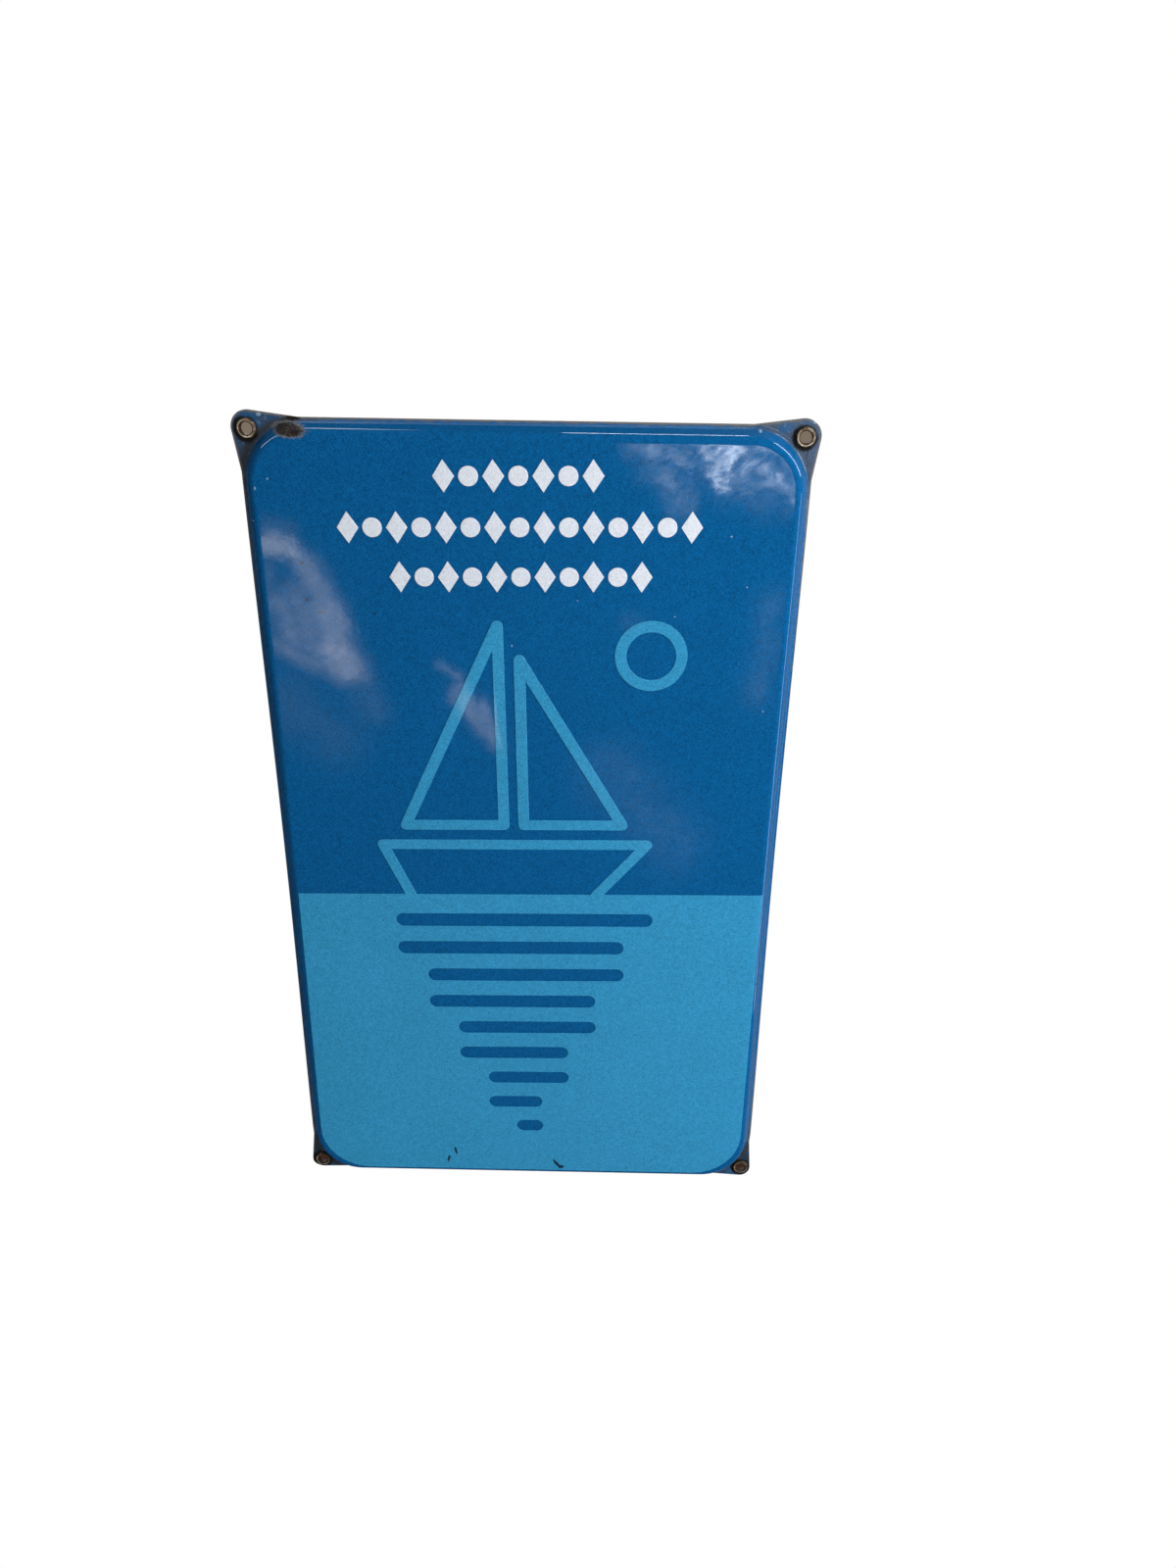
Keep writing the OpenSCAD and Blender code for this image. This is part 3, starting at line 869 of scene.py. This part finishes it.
def makeEyelet(name, node, side, end, material):
    form = eyeletForm
    axis = Vector((side * hole.x, 0, end * hole.z))
    bm = bmesh.new()
    verts, edges = chain(bm, [Vector((axis.x + p.x, -p.y, axis.z)) for p in eyeletSection()])
    bmesh.ops.spin(bm, geom=verts + edges, cent=axis, axis=(0, 1, 0), angle=2 * math.pi,
                   steps=form["steps"], use_merge=True)
    bmesh.ops.remove_doubles(bm, verts=bm.verts, dist=weld)
    bmesh.ops.recalc_face_normals(bm, faces=bm.faces)
    probe = min(bm.faces, key=lambda face: face.calc_center_median().y)
    if probe.normal.y > 0:
        bmesh.ops.reverse_faces(bm, faces=bm.faces)
    crest = form["bore"] + form["turn"]
    for vert in bm.verts:  # the roll was beaten over by hand and is a little uneven
        away = vert.co - axis
        flat = Vector((away.x, 0, away.z))
        if vert.co.y < -sheetForm["sheet"] and flat.length > form["bore"]:
            lump = noise.noise(vert.co / form["dentSize"] + axis * 900)
            share = min((flat.length - form["bore"]) / (crest - form["bore"]), 1)
            vert.co.y += form["dent"] * abs(lump) * share
            vert.co -= flat.normalized() * form["dent"] * abs(lump) * share * form["dentInward"]
    piece = finishPiece(name, takeMesh(bm, name), material, "aged_brass", node)
    addModifier(piece, "SOLIDIFY", thickness=form["wall"], offset=-1, use_even_offset=True)


darkBlue = makeDarkEnamel()
lightBlue = makeLightEnamel()
white = makeWhiteEnamel()
brass = makeAgedBrass()
print("materials made")
makePanel(darkBlue)
makeLayer("lightBlueLayer", "light_blue_enamel", lightBlue, "light_blue_enamel")
makeLayer("whiteLayer", "white_enamel", white, "white_enamel")
for name, node, side, end in [("eyeletTopLeft", "eyelet_top_left", -1, 1),
                              ("eyeletTopRight", "eyelet_top_right", 1, 1),
                              ("eyeletBottomLeft", "eyelet_bottom_left", -1, -1),
                              ("eyeletBottomRight", "eyelet_bottom_right", 1, -1)]:
    makeEyelet(name, node, side, end, brass)
print("pieces made")


# Stage: a pale floor, a white wall close behind the sign, lamps and what the gloss mirrors

stage = {
    "floorDrop": 0.25,  # floor's distance below the sign
    "floorReach": 6,
    "wallGap": 1.2 * mm,
    "wallReach": 1,
    "wallFoot": -0.5,
    "holeShadeEdge": (6.6, 6.4),  # distances from an eyelet's axis between which the painted shade behind a hole ends, in mm
    # painted shade seen through the screw holes, darker behind the lower ones
    "holeShade": colour(124, 112, 98),
    "holeShadeLow": colour(62, 38, 27),
    "ambient": 0.2,
    "mirrored": 0.03,
    "wallMirrored": 0.15,
    "wallMirroredFrom": (40, 160),  # the gloss shows the wall on the right only, in mm from the middle
}


def makePlane(name, corners, material):
    bm = bmesh.new()
    bm.faces.new([bm.verts.new(corner) for corner in corners])
    mesh = takeMesh(bm, name)
    mesh.materials.append(material)
    plane = bpy.data.objects.new(name, mesh)
    bpy.context.scene.collection.objects.link(plane)
    return plane


def showInGlossOnly(plane):
    plane.visible_camera = False
    plane.visible_diffuse = False
    plane.visible_shadow = False
    plane.visible_transmission = False


def makeFloor():
    material, tree, surface = newMaterial("paleFloor")
    matte = put(tree, "BsdfDiffuse", {"Color": (0.8, 0.8, 0.8, 1)})
    plain = put(tree, "Emission", {"Color": (1, 1, 1, 1), "Strength": 1.0})
    choice = put(tree, "MixShader", {0: put(tree, "LightPath").outputs["Is Camera Ray"],
                                     1: matte.outputs[0], 2: plain.outputs[0]})
    tree.links.new(choice.outputs[0], surface)
    z = cadBounds[0][2] - stage["floorDrop"]
    reach = stage["floorReach"]
    corners = [(-reach, -reach, z), (reach, -reach, z), (reach, reach, z), (-reach, reach, z)]
    plane = makePlane("floor", corners, material)
    plane.visible_glossy = False


# The camera sees the wall from the front only, so the sign's back stays in view. Behind each screw hole it
# has a disc of painted shade, darker behind the lower holes. Nothing else sees it, but for a faint glow in
# the gloss.
def makeWall():
    material, tree, surface = newMaterial("whiteWall")
    position = positionInMm(tree)
    parts = split(tree, position)
    reach = useGroup(tree, eyeletDistance, {"Position": position})["Distance"]
    # painted shade behind each hole, darker behind the lower holes
    holeShadeTone = blend(tree, fade(tree, parts["Z"], -100, 100), stage["holeShadeLow"], stage["holeShade"])
    tone = blend(tree, fade(tree, reach, *stage["holeShadeEdge"]), (1, 1, 1, 1), holeShadeTone)
    plain = put(tree, "Emission", {"Color": tone, "Strength": 1.0})
    path = put(tree, "LightPath").outputs
    front = calc(tree, "SUBTRACT", 1, put(tree, "NewGeometry").outputs["Backfacing"])
    dim = times(tree, fade(tree, parts["X"], *stage["wallMirroredFrom"]), stage["wallMirrored"])
    dim = times(tree, dim, times(tree, path["Is Glossy Ray"], front))
    glow = put(tree, "Emission", {"Color": (1, 1, 1, 1), "Strength": dim})
    clear = put(tree, "BsdfTransparent")
    unseen = put(tree, "AddShader", {0: clear.outputs[0], 1: glow.outputs[0]})
    shown = times(tree, path["Is Camera Ray"], front)
    choice = put(tree, "MixShader", {0: shown, 1: unseen.outputs[0], 2: plain.outputs[0]})
    tree.links.new(choice.outputs[0], surface)
    y, wide, foot = stage["wallGap"], stage["wallReach"], stage["wallFoot"]
    corners = [(-wide, y, foot), (wide, y, foot), (wide, y, wide), (-wide, y, wide)]
    plane = makePlane("wall", corners, material)
    plane.visible_shadow = False
    plane.visible_diffuse = False


def makeWorld():
    world = bpy.data.worlds.new("studio")
    bpy.context.scene.world = world
    world.use_nodes = True
    tree = world.node_tree
    tree.nodes.clear()
    output = tree.nodes.new("ShaderNodeOutputWorld")
    path = put(tree, "LightPath").outputs
    inGloss = times(tree, path["Is Glossy Ray"], stage["mirrored"] - stage["ambient"])
    strength = most(tree, plus(tree, inGloss, stage["ambient"]), path["Is Camera Ray"])
    back = put(tree, "Background", {"Color": (1, 1, 1, 1), "Strength": strength})
    tree.links.new(back.outputs[0], output.inputs["Surface"])


def addLamp(name, place, target, size, power, mirrored=False):
    data = bpy.data.lights.new(name, "AREA")
    data.shape = "RECTANGLE"
    data.size, data.size_y = size
    data.energy = power
    lamp = bpy.data.objects.new(name, data)
    lamp.location = place
    lamp.rotation_euler = (Vector(target) - Vector(place)).to_track_quat("-Z", "Y").to_euler()
    lamp.visible_glossy = mirrored
    lamp.visible_camera = False
    bpy.context.scene.collection.objects.link(lamp)


def addGlow(name, start, end, half, strength):  # a bar that only gloss shows
    material, tree, surface = newMaterial(name)
    glow = put(tree, "Emission", {"Color": mirrorCard["cool"], "Strength": strength})
    tree.links.new(glow.outputs[0], surface)
    start, end = Vector(start), Vector(end)
    side = (end - start).cross((start + end) / 2).normalized() * half  # broadside to the sign
    plane = makePlane(name, [start - side, start + side, end + side, end - side], material)
    showInGlossOnly(plane)


def makeStreak():  # a soft bar of light, drawn where the face mirrors it
    inputs = {"Position": "Vector", "From": "Vector", "Span": "Vector",
              "Width": "Float", "Soft": "Float", "Level": "Float"}
    tree, given, made = makeGroup("streak", inputs, {"Light": "Float"})
    away = flattened(tree, vectorCalc(tree, "SUBTRACT", given["Position"], given["From"]))
    along = calc(tree, "DIVIDE", vectorCalc(tree, "DOT_PRODUCT", away, given["Span"]),
                 vectorCalc(tree, "DOT_PRODUCT", given["Span"], given["Span"]), clamp=True)
    scaled = put(tree, "VectorMath", {0: given["Span"], "Scale": along}, operation="SCALE").outputs[0]
    off = vectorCalc(tree, "DISTANCE", away, scaled)
    edge = calc(tree, "DIVIDE", calc(tree, "SUBTRACT", given["Width"], off), given["Soft"])
    edge = plus(tree, edge, 0.5, clamp=True)
    edge = times(tree, edge, edge)
    feed(tree, made["Light"], times(tree, edge, given["Level"]))
    return tree


mirrorCard = {
    # all in mm, and as the sign's face shows it
    "depth": 900,  # how far the card stands in front of the sign
    "left": -170,
    "right": 170,
    "bottom": -270,
    "top": 290,
    "bendSize": 22,  # the bars are bent by an uneven surface
    "bend": 16,
    "mottleSize": 9,  # and broken up by a coarse and a fine pattern
    "mottle": (-0.4, 2.4),
    "mottleLeast": 0.45,
    "rippleSize": 2.1,
    "ripple": (-1.8, 4.0),
    "rippleLeast": 0.4,
    "rippleTurn": 24,  # in degrees
    "leftShare": 0.45,  # how much of that the left half has
    "coolFrom": (10, 50),
    "warm": (1.08, 1.0, 0.95, 1),
    "cool": (0.9, 1.0, 1.16, 1),
    # bars of light: from x, z to x, z, half width, softness, level
    "bars": [
        (-139, 197, -122, 195, 3, 9, 0.7),
        (-139, 188, -126, 183, 6, 8, 3.4),
        (-126, 183, -112, 171, 7, 10, 2.1),
        (-113, 171, -107, 151, 9, 13, 1.9),
        (-108, 151, -105, 131, 11, 14, 2.7),
        (-105, 131, -101, 119, 10, 13, 3.2),
        (-122, 154, -116, 134, 12, 22, 1.6),
        (-135, 152, -126, 134, 11, 20, 1.6),
        (-137, 130, -108, 120, 8, 15, 1.7),
        (-138, 172, -138, 154, 5, 9, 0.8),
        (-96, 113, -88, 92, 8, 20, 0.5),
        (-134, 95, -110, 75, 20, 34, 0.3),
        (-49, 121, -34, 111, 3, 5, 1.6),
        (-36, 102, -22, 82, 7, 6, 1.9),
        (-25, 82, -17, 73, 5, 6, 1.6),
        (-22, 97, -18, 79, 4, 4, 1.9),
        (58, 242, 87, 243, 2.5, 4, 2.2),
        (87, 243, 100, 241, 3, 4, 3.6),
        (100, 242, 110, 237, 5, 6, 9),
        (106, 236, 103, 224, 7, 7, 7.5),
        (94, 239, 104, 229, 5, 6, 3.6),
        (119, 240, 129, 237, 6, 7, 3.4),
        (129, 237, 137, 229, 5, 6, 2.8),
        (117, 229, 129, 223, 5, 6, 3.4),
        (129, 223, 141, 214, 3, 5, 3.0),
        (58, 240, 84, 233, 8, 12, 1.6),
        (104, 232, 130, 226, 17, 22, 1.5),
        (66, 232, 82, 213, 9, 14, 1.3),
        (134, 158, 130, 108, 10, 16, 0.4),
        (49, 56, 88, 12, 22, 30, 0.3),
        (55, 147, 63, 143, 6, 10, 0.3),
    ],
}


def makeMirrorCard():
    streak = makeStreak()
    card = mirrorCard
    eye = Vector((cameraPlace.x / mm, 0, cameraPlace.z / mm))
    eyeDepth = -2 * sheetForm["press"] / mm - cameraPlace.y / mm
    scale = (eyeDepth + card["depth"]) / (eyeDepth + sheetForm["press"] / mm)
    material, tree, surface = newMaterial("mirrorCard")
    position = positionInMm(tree)
    away = vectorCalc(tree, "SUBTRACT", position, eye)
    onFace = vectorCalc(tree, "ADD", vectorCalc(tree, "DIVIDE", away, (scale, scale, scale)), eye)
    bend = put(tree, "TexNoise", {"Vector": onFace, "Scale": 1 / card["bendSize"], "Detail": 3.0,
                                  "Roughness": 0.55}).outputs["Color"]
    bend = vectorCalc(tree, "SUBTRACT", bend, (0.5, 0.5, 0.5))
    bend = vectorCalc(tree, "MULTIPLY", bend, (card["bend"], 0, card["bend"]))
    bent = vectorCalc(tree, "ADD", onFace, bend)
    total = 0.0
    for x, z, endX, endZ, width, soft, level in card["bars"]:
        inputs = {"Position": bent, "From": (x, 0, z), "Span": (endX - x, 0, endZ - z),
                  "Width": width, "Soft": soft, "Level": level}
        total = most(tree, useGroup(tree, streak, inputs)["Light"], total)
    side = fade(tree, split(tree, onFace)["X"], *card["coolFrom"])
    mottle = cloud(tree, bent, card["mottleSize"], detail=4, roughness=0.65)
    mottle = most(tree, spread(tree, mottle, *card["mottle"]), card["mottleLeast"])
    turned = put(tree, "VectorRotate", {"Vector": bent, "Angle": math.radians(card["rippleTurn"])},
                 rotation_type="Y_AXIS")
    drawn = vectorCalc(tree, "MULTIPLY", turned.outputs[0], (0.4, 1, 1))
    ripple = cloud(tree, drawn, card["rippleSize"], detail=2, distortion=0.8)
    ripple = most(tree, spread(tree, ripple, *card["ripple"]), card["rippleLeast"])
    broken = times(tree, times(tree, mottle, ripple), spread(tree, side, card["leftShare"], 1.0))
    total = times(tree, total, plus(tree, broken, spread(tree, side, 1 - card["leftShare"], 0.0)))
    tone = blend(tree, side, card["warm"], card["cool"])
    glow = put(tree, "Emission", {"Color": tone, "Strength": total})
    clear = put(tree, "BsdfTransparent")
    both = put(tree, "AddShader", {0: glow.outputs[0], 1: clear.outputs[0]})
    tree.links.new(both.outputs[0], surface)
    y = -card["depth"] * mm
    left, right = [(eye.x + (card[edge] - eye.x) * scale) * mm for edge in ("left", "right")]
    bottom, top = [(eye.z + (card[edge] - eye.z) * scale) * mm for edge in ("bottom", "top")]
    corners = [(left, y, bottom), (left, y, top), (right, y, top), (right, y, bottom)]
    plane = makePlane("mirrorCard", corners, material)
    showInGlossOnly(plane)


# place, target, width and height, watts
lamps = {
    "windowLight": ((0.86, -0.56, 0.46), (0, 0, 0), (0.7, 0.9), 15.8),
    "frontLight": ((0.8, -2.1, 1.3), (0, 0, 0), (2.0, 1.6), 3.2),
    "topSoft": ((0.1, -0.5, 2.0), (0, 0, 0.2), (1.4, 0.8), 6),
    "topLightLeft": ((-0.46, 0.62, 1.7), (0, 0, 0.25), (0.22, 0.3), 1.3),
    "backLight": ((-0.9, 2.0, 0.9), (0, 0, 0), (1.6, 1.2), 40),
}
mirroredLamps = ("topLightLeft", "backLight")
# ends, half the width, level
glowBars = {
    "cornerBar": ((1.43, 0.0, 0.42), (0.86, -0.1, 1.3), 0.12, 12),
    "sideBar": ((1.39, -0.25, 0.05), (1.19, -0.2, -0.84), 0.05, 8),
    "leftBack": ((-1.19, 0.58, 0.72), (-1.07, 0.51, 0.98), 0.07, 9),
    "leftBar": ((-1.25, -0.34, 0.80), (-0.94, -0.48, 1.14), 0.06, 12),
    "rightBar": ((-0.03, 0.41, 1.79), (0.32, 0.41, 1.78), 0.05, 28),
}
makeFloor()
makeWall()
makeWorld()
for name, lamp in lamps.items():
    addLamp(name, *lamp, mirrored=name in mirroredLamps)
for name, bar in glowBars.items():
    addGlow(name, *bar)
makeMirrorCard()
print("stage set")
